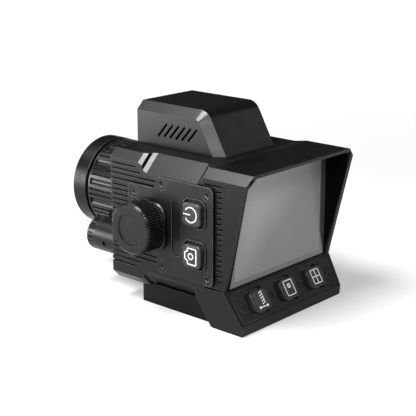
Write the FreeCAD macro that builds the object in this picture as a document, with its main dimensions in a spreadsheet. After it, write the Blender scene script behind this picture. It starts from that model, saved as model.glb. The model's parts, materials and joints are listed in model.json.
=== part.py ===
import FreeCAD, Part
import math
import os
import re
import Sketcher
from FreeCAD import Placement, Rotation, Vector

# Handheld thermal imaging camera. Millimetres, +Z up, +Y out of the lens, +X to the user's right.
# The origin is the centre of the base block's underside.

SIZES = {
    # housings
    "body_width": 70.0,
    "body_top": 66.0,
    "body_bottom": 9.2,
    "front_face": 30.5,
    "parting": -21.3,
    "hood_rear": -44.0,
    "wall": 3.4,
    "front_wall": 3.0,
    "slim_chamfer": 3.4,
    "deep_chamfer": 7.2,
    "chamfer_start": 14.2,
    "chamfer_end": 9.5,
    "inner_chamfer": 6.4,
    "toe_front": -17.0,
    "toe_top": 16.0,
    "waist_y": -32.25,
    "waist_z": 17.0,
    "chin_y": -40.25,
    "chin_z": 4.35,
    "chin_half": 33.3,
    # screen
    "glass_y": -32.0,
    "glass_thick": 1.2,
    "glass_half": 31.4,
    "glass_low": 17.7,
    "glass_high": 64.0,
    "lcd_half": 30.0,
    "lcd_low": 19.2,
    "lcd_high": 62.6,
    "lcd_thick": 3.6,
    # side grooves and vents
    "groove_pitch": 2.14,
    "groove_width": 0.75,
    "groove_depth": 0.8,
    "vent_top": 60.1,
    "cap_seat": 69.0,
    # base block
    "base_half": 28.8,
    "base_length": 39.0,
    "rail_x": 40.0,
    "rail_y": 24.0,
    "rail_hole": 1.65,
    "tripod_hole": 2.6,
    "tripod_depth": 7.5,
    # control plate and knob
    "plate_thick": 1.2,
    "plate_mid": 38.85,
    "plate_high": 59.1,
    "plate_low": 18.8,
    "plate_rear": -27.6,
    "plate_front": 2.9,
    "lobe_front": 19.0,
    "pill_y": -8.3,
    "pill_z": 39.2,
    "pill_half": 2.7,
    "pill_reach": 11.7,
    "pill_depth": 0.4,
    "knob_y": 7.0,
    "knob_z": 38.4,
    "knob_radius": 10.9,
    "knob_face": 47.5,
    "flange_half": 9.9,
    "flange_thick": 1.6,
    "shaft_radius": 3.0,
    "button_y": -18.15,
    "button_rise": 8.55,
    "cap_half": 4.7,
    "cap_gap": 0.8,
    "cap_face": 38.4,
    "recess_depth": 2.0,
    # keypad on the chin, in the frame of the sloping face
    "key_pitch": 18.4,
    "key_width": 10.2,
    "key_height": 9.2,
    "key_rise": 2.0,
    "key_gap": 0.8,
    "keypad_half": 32.0,
    "keypad_high": 6.7,
    "keypad_thick": 1.2,
    # lens
    "axis_z": 39.25,
    "barrel_radius": 19.0,
    "ring_radius": 20.4,
    "rib_offset": 1.17,
    "rib_gap": 1.0,
    "rib_depth": 0.75,
    "scallop_radius": 2.2,
    "front_ring_radius": 20.55,
    "ring_seam": 1.3,
    "ring_rear": 31.0,
    "ring_front": 61.9,
    "lens_front": 71.6,
    "bore_radius": 15.5,
    "lens_radius": 16.8,
    "cap_thread": 18.5,
    "run_gap": 0.05,
    # pointer tube
    "tube_x": 23.0,
    "tube_z": 22.4,
    "tube_radius": 7.6,
    "tube_seam": 46.9,
    "tube_front": 52.2,
    # rangefinder housing
    "top_half": 18.87,
    "top_high": 83.8,
    "top_rear": -16.4,
    "top_crest": -6.3,
    "top_chamfer": 3.6,
    "top_radius": 6.5,
    "window_z": 75.0,
    "emitter_x": -9.6,
    "emitter_radius": 4.2,
    "receiver_x": 6.4,
    "receiver_radius": 6.4,
    # screws
    "head_radius": 2.6,
    "head_high": 1.1,
    "shank_radius": 1.25,
    "shank_length": 3.6,
}

doc = FreeCAD.newDocument("thermal_camera")
sheet = doc.addObject("Spreadsheet::Sheet", "Dimensions")
for row, (alias, value) in enumerate(SIZES.items(), start=1):
    sheet.set("A%d" % row, alias)
    sheet.set("B%d" % row, str(value))
    sheet.setAlias("B%d" % row, alias)
doc.recompute()

parts = []


def bound(text):
    """Turn 'body_width/2' into an expression that reads the sheet."""
    return re.sub(r"[a-z]\w*", lambda m: "Dimensions." + m[0] if m[0] in SIZES else m[0], str(text))


def number(text):
    """Present value of an expression, in plain millimetres."""
    value = sheet.evalExpression(bound(text))
    return float(getattr(value, "Value", value))


def new_part(label, x=0, y=0, z=0, tilt=0):
    """A named sub-part: one body, placed at x, y, z and tilted about +X."""
    body = doc.addObject("PartDesign::Body", label)
    body.Label = label
    body.Placement = Placement(Vector(0, 0, 0), Rotation(Vector(1, 0, 0), tilt))
    for axis, text in zip("xyz", (x, y, z)):
        body.setExpression("Placement.Base." + axis, bound(text))
    parts.append(body)
    return body


def new_sketch(body, plane, offset=0):
    """Sketch on one of the body's origin planes, moved along its normal."""
    role = plane + "_Plane"
    origin_plane = next(f for f in body.Origin.OriginFeatures if f.Role == role)
    sketch = body.newObject("Sketcher::SketchObject", body.Label + "_sketch")
    sketch.AttachmentSupport = [(origin_plane, "")]
    sketch.MapMode = "FlatFace"
    sketch.setExpression("AttachmentOffset.Base.z", bound(offset))
    return sketch


def constrain(sketch, kind, *what, text=None):
    """Add a constraint; a dimension is bound to its expression."""
    if text is None:
        sketch.addConstraint(Sketcher.Constraint(kind, *what))
        return
    index = sketch.addConstraint(Sketcher.Constraint(kind, *what, number(text)))
    sketch.setExpression("Constraints[%d]" % index, bound(text))


def pin_point(sketch, geometry, end, x, y):
    """Hold a point at x, y from the sketch's origin."""
    constrain(sketch, "DistanceX", -1, 1, geometry, end, text=x)
    constrain(sketch, "DistanceY", -1, 1, geometry, end, text=y)


def polygon(*points):
    """Closed outline of straight lines through the points."""
    def draw(sketch):
        spots = [Vector(number(x), number(y), 0) for x, y in points]
        lines = [Part.LineSegment(a, b) for a, b in zip(spots, spots[1:] + spots[:1])]
        ids = sketch.addGeometry(lines, False)
        for index, (x, y) in zip(ids, points):
            pin_point(sketch, index, 1, x, y)
        for here, after in zip(ids, ids[1:] + ids[:1]):
            constrain(sketch, "Coincident", here, 2, after, 1)
    return draw


def rectangle(x0, y0, x1, y1):
    return polygon((x0, y0), (x1, y0), (x1, y1), (x0, y1))


def circle(x, y, radius):
    def draw(sketch):
        centre = Vector(number(x), number(y), 0)
        index = sketch.addGeometry(Part.Circle(centre, Vector(0, 0, 1), number(radius)), False)
        pin_point(sketch, index, 3, x, y)
        constrain(sketch, "Radius", index, text=radius)
    return draw


def rounded(x0, y0, x1, y1, radius):
    """Rectangle with round corners."""
    def draw(sketch):
        r = number(radius)
        low_x, low_y, high_x, high_y = (number(v) for v in (x0, y0, x1, y1))
        corners = [(low_x + r, low_y + r), (high_x - r, low_y + r), (high_x - r, high_y - r),
                   (low_x + r, high_y - r)]
        arcs = []
        for turn, (x, y) in enumerate(corners, start=2):
            arc_circle = Part.Circle(Vector(x, y, 0), Vector(0, 0, 1), r)
            start = turn * math.pi / 2
            arcs.append(Part.ArcOfCircle(arc_circle, start, start + math.pi / 2))
        lines = [Part.LineSegment(a.EndPoint, b.StartPoint) for a, b in zip(arcs, arcs[1:] + arcs[:1])]
        arc_ids = sketch.addGeometry(arcs, False)
        line_ids = sketch.addGeometry(lines, False)
        for here, line, after in zip(arc_ids, line_ids, arc_ids[1:] + arc_ids[:1]):
            constrain(sketch, "Tangent", here, 2, line, 1)
            constrain(sketch, "Tangent", line, 2, after, 1)
        for other in arc_ids[1:]:
            constrain(sketch, "Equal", arc_ids[0], other)
        constrain(sketch, "Radius", arc_ids[0], text=radius)
        constrain(sketch, "Horizontal", line_ids[0])
        constrain(sketch, "Vertical", line_ids[1])
        constrain(sketch, "Horizontal", line_ids[2])
        constrain(sketch, "DistanceY", -1, 1, line_ids[0], 1, text=y0)
        constrain(sketch, "DistanceX", -1, 1, line_ids[1], 1, text=x1)
        constrain(sketch, "DistanceY", -1, 1, line_ids[2], 1, text=y1)
        constrain(sketch, "DistanceX", -1, 1, line_ids[3], 1, text=x0)
    return draw


def star(x, y, outer, inner, points=6):
    """Six-lobed screw socket."""
    corners = []
    for step in range(2 * points):
        radius = outer if step % 2 == 0 else inner
        angle = math.pi * step / points
        corners.append(("%s+%.4f" % (x, radius * math.cos(angle)),
                        "%s+%.4f" % (y, radius * math.sin(angle))))
    return polygon(*corners)


def extrude(body, plane, low, high, *shapes, cut=False):
    """Add or cut a prism between two heights along the plane's own axis (+Z, +X or, for XZ, +Y)."""
    backwards = plane == "XZ"
    if cut:
        offset = "-(%s)" % low if backwards else high
    else:
        offset = "-(%s)" % high if backwards else low
    sketch = new_sketch(body, plane, offset)
    for draw in shapes:
        draw(sketch)
    feature = body.newObject("PartDesign::Pocket" if cut else "PartDesign::Pad", body.Label + "_prism")
    feature.Profile = sketch
    feature.setExpression("Length", bound("(%s)-(%s)" % (high, low)))
    doc.recompute()
    return feature


def turn(body, plane, axis, *points, cut=False):
    """Add or cut a solid of revolution; the outline is (along, radius) or (radius, along)."""
    sketch = new_sketch(body, plane)
    polygon(*points)(sketch)
    feature = body.newObject("PartDesign::Groove" if cut else "PartDesign::Revolution",
                             body.Label + "_turned")
    feature.Profile = sketch
    feature.ReferenceAxis = (sketch, [axis])
    feature.Angle = 360
    doc.recompute()
    return feature


def edges(feature, test):
    """Names of the edges whose centre and two ends pass the test."""
    found = []
    for index, edge in enumerate(feature.Shape.Edges, start=1):
        ends = [v.Point for v in edge.Vertexes]
        if test(edge.CenterOfMass, ends):
            found.append("Edge%d" % index)
    return found


def bevel(body, feature, size, test, kind="Chamfer"):
    """Chamfer or fillet the edges that pass the test."""
    result = body.newObject("PartDesign::" + kind, body.Label + "_" + kind.lower())
    result.Base = (feature, edges(feature, test))
    result.setExpression("Size" if kind == "Chamfer" else "Radius", bound(size))
    doc.recompute()
    return result


def repeat_round(body, feature, axis_name, count):
    """Polar pattern of a feature about the body's own axis."""
    axis = next(f for f in body.Origin.OriginFeatures if f.Role == axis_name + "_Axis")
    pattern = body.newObject("PartDesign::PolarPattern", body.Label + "_pattern")
    pattern.Originals = [feature]
    pattern.Axis = (axis, [""])
    pattern.Angle = 360
    pattern.Occurrences = count
    body.Tip = pattern
    doc.recompute()
    return pattern


def screw(label, head=None, high=None, shank=None, length=None):
    """One screw along +Z: head top at z = 0, shank below, six-lobed socket."""
    head, high = head or "head_radius", high or "head_high"
    shank, length = shank or "shank_radius", length or "shank_length"
    body = doc.addObject("PartDesign::Body", label + "_one")
    turn(body, "XZ", "V_Axis", (0, 0), (head, 0), (head, "-(%s)" % high), (shank, "-(%s)" % high),
         (shank, "-(%s)-(%s)" % (high, length)), (0, "-(%s)-(%s)" % (high, length)))
    reach = number(head) * 0.52
    extrude(body, "XY", "-(%s)*0.6" % high, 0, star(0, 0, reach, reach * 0.72), cut=True)
    return body


def screw_group(label, one, places):
    """Identical screws as one node: separate solids at the given placements."""
    group = doc.addObject("Part::Feature", label)
    group.Label = label
    copies = []
    for place in places:
        copy = one.Shape.copy()
        copy.Placement = place.multiply(copy.Placement)
        copies.append(copy)
    group.Shape = Part.makeCompound(copies)
    group.Placement = Placement()
    parts.append(group)
    return group


# Frame of the sloping keypad face: x to the right, y up the slope, z out of the face.
slope = math.degrees(math.atan2(SIZES["waist_y"] - SIZES["chin_y"], SIZES["waist_z"] - SIZES["chin_z"]))
slope_mid = Vector(0, (SIZES["waist_y"] + SIZES["chin_y"]) / 2, (SIZES["waist_z"] + SIZES["chin_z"]) / 2)
KEYPAD_TILT = 90 - slope
KEYPAD_AT = ("0", "(waist_y+chin_y)/2", "(waist_z+chin_z)/2")

SIDE_SCREWS = (("lobe_front-3.4", "plate_mid+11.6"), ("plate_front-2.9", "plate_high-2.9"),
               ("plate_rear+2.9", "plate_high-2.9"), ("plate_front-2.9", "plate_low+2.9"),
               ("plate_rear+2.9", "plate_low+2.9"))
RIGHT_SCREWS = (("lobe_front-3.4", "plate_high-2.9"), ("plate_rear+2.9", "plate_high-2.9"),
                ("lobe_front-3.4", "plate_low+2.9"), ("plate_rear+2.9", "plate_low+2.9"))
KEY_SCREWS = (-1.5, -0.5, 0.5, 1.5)
BASE_SCREWS = ((-24, -15), (24, -15), (-24, 15), (24, 15))
COVER_SCREWS = ((-17.2, -4), (17.2, -4), (-17.2, 24), (17.2, 24))


def octagon(cut_back):
    """Body section on an XZ plane with its four corners cut back."""
    half, top, low = "body_width/2", "body_top", "body_bottom"
    cut_back = "(%s)" % cut_back
    return polygon(("-%s+%s" % (half, cut_back), top), ("%s-%s" % (half, cut_back), top),
                   (half, "%s-%s" % (top, cut_back)), (half, "%s+%s" % (low, cut_back)),
                   ("%s-%s" % (half, cut_back), low), ("-%s+%s" % (half, cut_back), low),
                   ("-" + half, "%s+%s" % (low, cut_back)), ("-" + half, "%s-%s" % (top, cut_back)))


def sections(body, stations, kind="PartDesign::AdditiveLoft"):
    """Ruled loft through outlines drawn at given distances along +Y."""
    sketches = []
    for y, draw in stations:
        sketch = new_sketch(body, "XZ", "-(%s)" % y)
        draw(sketch)
        sketches.append(sketch)
    loft = body.newObject(kind, body.Label + "_loft")
    loft.Profile = sketches[0]
    loft.Sections = sketches[1:]
    loft.Ruled = True
    doc.recompute()
    return loft


def side_grooves(body):
    """Cooling grooves down both flanks of the front housing."""
    face, front = "body_width/2", "front_face+1"
    rows = [(60.45, 15.6), (58.3, 12.9), (56.2, "plate_front"), (53.95, "plate_front")]
    rows += [("51.35-groove_pitch*%d" % n, "lobe_front-1.4") for n in range(13)]
    rows += [(24.1, "plate_front"), (21.95, "plate_front"), (19.8, 12.9), (17.6, 15.6)]
    for side in (-1, 1):
        low = "-%s" % face if side < 0 else "%s-groove_depth" % face
        high = "-%s+groove_depth" % face if side < 0 else face
        slots = [rectangle(end, "%s-groove_width/2" % z, front, "%s+groove_width/2" % z) for z, end in rows]
        extrude(body, "YZ", low, high, *slots, cut=True)


def make_front_housing():
    body = new_part("front_housing")
    steps = [("parting", "(slim_chamfer+0.2)"), ("parting+3.2", "deep_chamfer"),
             ("chamfer_end", "deep_chamfer"),
             ("chamfer_end+2.0", "deep_chamfer-1.1"),
             ("chamfer_end+2.6", "deep_chamfer-2.9"), ("chamfer_start", "slim_chamfer"),
             ("front_face", "slim_chamfer")]
    sections(body, [(y, octagon(depth)) for y, depth in steps])
    inner_half = "(body_width/2-wall)"
    inner_top, inner_low = "(body_top-wall+0.6)", "(body_bottom+wall-0.6)"
    corner = "inner_chamfer"
    cavity = polygon(("-%s+%s" % (inner_half, corner), inner_top),
                     ("%s-%s" % (inner_half, corner), inner_top),
                     (inner_half, "%s-%s" % (inner_top, corner)),
                     (inner_half, "%s+%s" % (inner_low, corner)),
                     ("%s-%s" % (inner_half, corner), inner_low),
                     ("-%s+%s" % (inner_half, corner), inner_low),
                     ("-" + inner_half, "%s+%s" % (inner_low, corner)),
                     ("-" + inner_half, "%s-%s" % (inner_top, corner)))
    extrude(body, "XZ", "parting", "front_face-front_wall", cavity, cut=True)
    extrude(body, "XZ", "front_face-front_wall-1", "front_face+1", circle(0, "axis_z", "bore_radius+1.5"),
            circle("-tube_x", "tube_z", "tube_radius-2.6"), cut=True)
    # the rear housing's toe wraps under the rear edge
    extrude(body, "YZ", "-body_width/2-1", "body_width/2+1",
            rectangle("parting-1", "body_bottom-1", "toe_front", "toe_top"), cut=True)
    side_grooves(body)
    # recess for the side switches, screw holes and the encoder's bushing
    extrude(body, "YZ", "-body_width/2", "-body_width/2+recess_depth",
            rectangle("parting-1", "plate_mid-16", "button_y+7", "plate_mid+16"), cut=True)
    extrude(body, "YZ", "-body_width/2-1", "-body_width/2+wall+1",
            *[circle(y, z, "shank_radius") for y, z in SIDE_SCREWS if y != "plate_rear+2.9"],
            circle("knob_y", "knob_z", "shaft_radius+1.2"), cut=True)
    extrude(body, "YZ", "body_width/2-wall-1", "body_width/2+1",
            *[circle(y, z, "shank_radius") for y, z in RIGHT_SCREWS if y != "plate_rear+2.9"],
            rounded(-5.2, 28.1, 5.2, 31.9, 1.7), cut=True)
    extrude(body, "XY", "body_bottom-1", "body_bottom+wall", *[circle(x, y, 1.5) for x, y in BASE_SCREWS],
            cut=True)
    extrude(body, "XY", "body_top-wall", "body_top+1", *[circle(x, y, 1.05) for x, y in COVER_SCREWS],
            rectangle(-6, 2, 6, 12), cut=True)
    return body


def make_rear_housing():
    """Screen hood above, sloping keypad chin below."""
    body = new_part("rear_housing")
    half = "body_width/2"
    outline = polygon(("parting", "body_top"), ("hood_rear", "body_top"), ("waist_y", "waist_z"),
                      ("chin_y", "chin_z"),
                      ("chin_y", 0.6), ("chin_y+0.6", 0), ("parting-2.7", 0), ("toe_front", 12.2),
                      ("toe_front", "toe_top"), ("parting", "toe_top"))
    block = extrude(body, "YZ", "-" + half, half, outline)
    reach, top = number(half), number("body_top")
    block = bevel(body, block, "slim_chamfer+0.2", lambda c, e: abs(abs(c.x) - reach) < 0.01
                  and abs(c.z - top) < 0.01)
    bevel(body, block, 2.8, lambda c, e: abs(abs(c.x) - reach) < 0.01 and abs(c.z) < 0.01)
    taper = "(%s-chin_half)/(waist_z-chin_z)*(waist_z+1)" % half
    extrude(body, "XZ", "hood_rear-1", "toe_front+1",
            *[polygon(("%s%s" % (s, half), "waist_z"), ("%s(%s+2)" % (s, half), "waist_z"),
                      ("%s(%s+2)" % (s, half), -1), ("%s(%s-%s)" % (s, half, taper), -1)) for s in ("",
                                                                                                    "-")],
                                                                                                    cut=True)
    # hood mouth: walls thin towards the rear edge
    wide, low, high = "(glass_half+0.1)", "(glass_low-0.1)", "(glass_high+0.1)"
    sections(body, [("glass_y", mouth(wide, low, high, 0.8)),
                    ("hood_rear-1", mouth(wide + "+2", low, high + "+0.6", 4.2))],
                    kind="PartDesign::SubtractiveLoft")
    extrude(body, "XZ", "glass_y", "glass_y+glass_thick", rectangle("-" + wide, low, wide, high), cut=True)
    extrude(body, "XZ", "glass_y+glass_thick", "parting+1",
            rectangle("-lcd_half", "lcd_low", "lcd_half", "lcd_high"),
            cut=True)
    extrude(body, "XZ", "glass_y+glass_thick+lcd_thick", "parting+1",
            rectangle("-body_width/2+wall+0.4", "lcd_low-2", "body_width/2-wall-0.4", "lcd_high"), cut=True)
    keypad_pocket(body)
    extrude(body, "YZ", "-%s-1" % half, half + "+1",
            rectangle("-base_length/2-run_gap", -1, "toe_front+1", "body_bottom"), cut=True)
    for side, screws in ((-1, SIDE_SCREWS), (1, RIGHT_SCREWS)):
        low_x = "-%s-1" % half if side < 0 else "%s-5" % half
        high_x = "-%s+5" % half if side < 0 else "%s+1" % half
        extrude(body, "YZ", low_x, high_x, *[circle(y, z,
                                                    "shank_radius") for y, z in screws if y == "plate_rear+2.9"],
                cut=True)
    extrude(body, "YZ", "-" + half, "-%s+recess_depth" % half,
            rectangle("button_y-7", "plate_mid-16", "parting+1", "plate_mid+16"), cut=True)
    vent_column(body)
    return body


def mouth(half, low, high, corner):
    """Opening of the screen hood, its top corners cut to follow the chamfers outside."""
    return polygon(("-(%s)" % half, low), (half, low), (half, "%s-%s" % (high, corner)),
                   ("%s-%s" % (half, corner), high), ("-(%s)+%s" % (half, corner), high),
                   ("-(%s)" % half, "%s-%s" % (high, corner)))


def keypad_pocket(body):
    """Pockets square to the sloping face: plate recess, then the board's room."""
    extrude_sloped(body, "keypad_thick", rounded("-keypad_half", "-keypad_high", "keypad_half",
                                                 "keypad_high", 2.5))
    extrude_sloped(body, "keypad_thick+3.4", rounded("-keypad_half+6.6", "-keypad_high+1.4",
                                                     "keypad_half-6.6",
                                                     "keypad_high-1.4", 1.5))
    extrude_sloped(body, "keypad_thick+4", *[circle("key_pitch*%.1f" % n, 0, "shank_radius") for n in (-1.5,
                                                                                                       1.5)])


def extrude_sloped(body, depth, *shapes):
    """Pocket of a given depth, square to the sloping face and centred on it."""
    sketch = new_sketch(body, "XZ")
    sketch.AttachmentOffset = Placement(Vector(0, slope_mid.z, -slope_mid.y),
                                        Rotation(Vector(1, 0, 0), -slope))
    sketch.setExpression("AttachmentOffset.Base.y", bound(KEYPAD_AT[2]))
    sketch.setExpression("AttachmentOffset.Base.z", bound("-(%s)" % KEYPAD_AT[1]))
    for draw in shapes:
        draw(sketch)
    feature = body.newObject("PartDesign::Pocket", body.Label + "_sloped")
    feature.Profile = sketch
    feature.setExpression("Length", bound(depth))
    doc.recompute()
    return feature


def vent_column(body):
    """Column of short vents beside the control plate, with a long one at each end."""
    face = "body_width/2"
    end = -31.45
    slots = []
    for n in range(1, 19):
        start = -28.0 if n % 2 else -29.0
        z = "vent_top-groove_pitch*%d" % n
        slots.append(rectangle(end, "%s-groove_width/2" % z, start, "%s+groove_width/2" % z))
    for z in ("vent_top", "vent_top-groove_pitch*19.8"):
        slots.append(rectangle(end, "%s-groove_width/2" % z, -22.2, "%s+groove_width/2" % z))
    extrude(body, "YZ", "-%s" % face, "-%s+groove_depth" % face, *slots, cut=True)
    extrude(body, "YZ", "%s-groove_depth" % face, face, *slots, cut=True)


def make_base():
    body = new_part("base_block")
    extrude(body, "XY", 0, "body_bottom", rounded("-base_half", "-base_length/2", "base_half",
                                                  "base_length/2", 1.5))
    extrude(body, "XY", 0, "tripod_depth", circle(0, 0, "tripod_hole"), cut=True)
    extrude(body, "XY", 0, "tripod_depth", *[circle("rail_x/2*%d" % i, "rail_y/2*%d" % j, "rail_hole")
                                             for i in (-1, 1) for j in (-1, 1)], cut=True)
    extrude(body, "XY", -1, "body_bottom+1", *[circle(x, y, 1.5) for x, y in BASE_SCREWS], cut=True)
    extrude(body, "XY", -1, 3.2, *[circle(x, y, 2.8) for x, y in BASE_SCREWS], cut=True)
    one = screw("base_screw", 2.75, 2.0, 1.5, 7.6)
    flip = Rotation(Vector(1, 0, 0), 180)
    screw_group("base_screws", one, [Placement(Vector(x, y, 1.2), flip) for x, y in BASE_SCREWS])


def make_control_plate():
    """Side plate that carries the knob and two buttons."""
    body = new_part("control_plate")
    face = "-body_width/2"
    front, lobe = "plate_front", "lobe_front"
    outline = polygon(("plate_rear", "plate_low"), (front, "plate_low"), (front, "plate_mid-12.5"),
                      ("lobe_front-4", "plate_mid-8.5"), ("lobe_front-4", "plate_mid+6"),
                      (lobe, "plate_mid+8.2"),
                      (lobe, "plate_mid+15"), (front, "plate_mid+15"), (front, "plate_high"),
                      ("plate_rear", "plate_high"))
    slab = extrude(body, "YZ", face + "-plate_thick", face, outline)
    corners = edges(slab, lambda c, e: abs(e[0].y - e[-1].y) < 0.01 and abs(e[0].z - e[-1].z) < 0.01)
    rounding = body.newObject("PartDesign::Fillet", "control_plate_corners")
    rounding.Base = (slab, corners)
    rounding.Radius = 2.2
    doc.recompute()
    caps = [("plate_mid+button_rise"), ("plate_mid-button_rise")]
    hole = "(cap_half+cap_gap)"
    rims = [rounded("button_y-%s-0.6" % hole, "%s-%s-0.6" % (z, hole), "button_y+%s+0.6" % hole,
                    "%s+%s+0.6" % (z, hole), 3.1) for z in caps]
    extrude(body, "YZ", face + "-plate_thick-0.45", face + "-plate_thick+0.1", *rims)
    holes = [rounded("button_y-%s" % hole, "%s-%s" % (z, hole), "button_y+%s" % hole, "%s+%s" % (z, hole),
                     2.5)
             for z in caps]
    extrude(body, "YZ", face + "-plate_thick-1", face + "+1", *holes, cut=True)
    extrude(body, "YZ", face + "-plate_thick-1", face + "+1",
            *[circle(y, z, "shank_radius") for y, z in SIDE_SCREWS],
            circle("knob_y", "knob_z", "shaft_radius+1.2"), cut=True)
    extrude(body, "YZ", face + "-plate_thick-1", face + "-plate_thick+0.9",
            *[circle(y, z, "head_radius+0.05") for y, z in SIDE_SCREWS], cut=True)
    extrude(body, "YZ", face + "-plate_thick-1", face + "-plate_thick+pill_depth",
            rounded("pill_y-pill_half", "pill_z-pill_reach", "pill_y+pill_half", "pill_z+pill_reach", 2.65),
            cut=True)
    one = screw("plate_screw", high=0.8)
    out = Rotation(Vector(0, 1, 0), -90)
    x = -SIZES["body_width"] / 2 - SIZES["plate_thick"] + 0.1
    screw_group("control_plate_screws", one, [Placement(Vector(x, number(y), number(z)),
                                                        out) for y, z in SIDE_SCREWS])


def make_knob():
    """Knurled control knob, its flange, shaft and encoder, all on one axis along X."""
    outer = "(body_width/2+plate_thick)"
    flange = new_part("knob_flange", 0, "knob_y", "knob_z")
    slab = extrude(flange, "YZ", "-%s-flange_thick" % outer, "-" + outer,
                   rounded("-flange_half", "-flange_half", "flange_half", "flange_half", 5))
    rim = -number(outer) - SIZES["flange_thick"]
    bevel(flange, slab, 0.5, lambda c, e: abs(c.x - rim) < 0.01)
    extrude(flange, "YZ", "-%s-flange_thick-1" % outer, "-%s+1" % outer, circle(0, 0, "shaft_radius+1.2"),
            cut=True)
    knob = new_part("control_knob", 0, "knob_y", "knob_z")
    rear = "-%s-flange_thick-0.3" % outer
    dished = "-knob_face+0.6"
    turn(knob, "XY", "H_Axis", (dished, 0), (dished, 6.1), ("-knob_face", 6.9),
         ("-knob_face", "knob_radius-1.0"),
         ("-knob_face+0.5", "knob_radius-0.4"),
         ("-knob_face+0.9", "knob_radius"), (rear, "knob_radius"), (rear, 0))
    extrude(knob, "YZ", "-knob_face+3", "-%s" % outer, circle(0, 0, "shaft_radius"), cut=True)
    notch = extrude(knob, "YZ", "-knob_face-1", rear + "-0.8",
                    polygon(("-0.48", "knob_radius+0.1"), ("0", "knob_radius-0.75"),
                            ("0.48", "knob_radius+0.1")), cut=True)
    repeat_round(knob, notch, "X", 64)
    shaft = new_part("knob_shaft", 0, "knob_y", "knob_z")
    extrude(shaft, "YZ", "-knob_face+3", "-body_width/2+wall+1.2", circle(0, 0, "shaft_radius"))
    extrude(shaft, "YZ", "-body_width/2+wall+1.2", "-body_width/2+wall+6", circle(0, 0, 2))
    bush = new_part("encoder_bushing", 0, "knob_y", "knob_z")
    extrude(bush, "YZ", "-%s-flange_thick" % outer, "-body_width/2+wall+1", circle(0, 0, "shaft_radius+1.2"),
            circle(0, 0, "shaft_radius+run_gap"))
    encoder = new_part("rotary_encoder", 0, "knob_y", "knob_z")
    extrude(encoder, "YZ", "-body_width/2+wall+1.3", "-body_width/2+wall+7", rounded(-6, -6, 6, 6, 0.8))
    extrude(encoder, "YZ", "-body_width/2+wall+1", "-body_width/2+wall+6.1", circle(0, 0, "2+run_gap"),
            cut=True)


def make_side_buttons():
    for label, sign in (("power_button", "+"), ("photo_button", "-")):
        button = new_part(label, 0, "button_y", "plate_mid%sbutton_rise" % sign)
        cap = extrude(button, "YZ", "-cap_face", "-body_width/2+0.1",
                      rounded("-cap_half", "-cap_half", "cap_half", "cap_half", 2.0))
        front = -SIZES["cap_face"]
        bevel(button, cap, 0.7, lambda c, e: abs(c.x - front) < 0.01, kind="Fillet")
        reach = "(cap_half+cap_gap+0.6)"
        extrude(button, "YZ", "-body_width/2+0.1", "-body_width/2+0.8",
                rounded("-" + reach, "-" + reach, reach, reach, 3))
    board = new_part("side_switch_board")
    extrude(board, "YZ", "-body_width/2+recess_depth-0.5", "-body_width/2+recess_depth",
            rectangle("button_y-6.6", "plate_mid-15.6", "button_y+6.6", "plate_mid+15.6"))


def make_keypad():
    """Flush keypad plate, three keys, screws and board, square to the sloping face."""
    plate = new_part("keypad_plate", *KEYPAD_AT, tilt=KEYPAD_TILT)
    extrude(plate, "XY", "-keypad_thick", 0, rounded("-keypad_half+0.15", "-keypad_high+0.15",
                                                     "keypad_half-0.15",
                                                     "keypad_high-0.15", 2.35))
    openings, heads, holes = [], [], []
    for n in (-1, 0, 1):
        wide, tall = "(key_width/2+key_gap)", "(key_height/2+key_gap)"
        openings.append(rounded("key_pitch*%d-%s" % (n, wide), "-" + tall, "key_pitch*%d+%s" % (n, wide),
                                tall, 2.6))
    extrude(plate, "XY", "-keypad_thick-1", 1, *openings, cut=True)
    for n in KEY_SCREWS:
        heads.append(circle("key_pitch*%.1f" % n, 0, 2.45))
        holes.append(circle("key_pitch*%.1f" % n, 0, "shank_radius"))
    extrude(plate, "XY", -0.8, 1, *heads, cut=True)
    extrude(plate, "XY", "-keypad_thick-1", 1, *holes, cut=True)
    for label, n in (("left_key", -1), ("middle_key", 0), ("right_key", 1)):
        key = new_part(label, *KEYPAD_AT, tilt=KEYPAD_TILT)
        left, right = "key_pitch*%d-key_width/2" % n, "key_pitch*%d+key_width/2" % n
        cap = extrude(key, "XY", "-keypad_thick-0.1", "key_rise",
                      rounded(left, "-key_height/2", right, "key_height/2", 2.2))
        bevel(key, cap, 0.8, lambda c, e: abs(c.z - SIZES["key_rise"]) < 0.01, kind="Fillet")
        extrude(key, "XY", "-keypad_thick-0.8", "-keypad_thick-0.1",
                rounded(left + "-1.3", "-key_height/2-0.65", right + "+1.3", "key_height/2+0.65", 2.8))
    board = new_part("keypad_board", *KEYPAD_AT, tilt=KEYPAD_TILT)
    extrude(board, "XY", "-keypad_thick-3.4", "-keypad_thick-2.4",
            rectangle("-keypad_half+7.3", "-keypad_high+2", "keypad_half-7.3", "keypad_high-2"))
    spacers = [rectangle("key_pitch*%.1f-1.6" % n, "-keypad_high+2", "key_pitch*%.1f+1.6" % n,
                         "keypad_high-2")
               for n in (-0.5, 0.5)]
    extrude(board, "XY", "-keypad_thick-2.4", "-keypad_thick", *spacers)
    extrude(board, "XY", "-keypad_thick-4", 0, *[circle("key_pitch*%.1f" % n, 0,
                                                        "shank_radius") for n in (-0.5, 0.5)],
            cut=True)
    one = screw("key_screw", head=2.4, high=0.7, length=2.8)
    place = Placement(slope_mid, Rotation(Vector(1, 0, 0), KEYPAD_TILT))
    spots = [place.multiply(Placement(Vector(SIZES["key_pitch"] * n, 0, -0.1),
                                      Rotation())) for n in KEY_SCREWS]
    screw_group("keypad_screws", one, spots)


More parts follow.
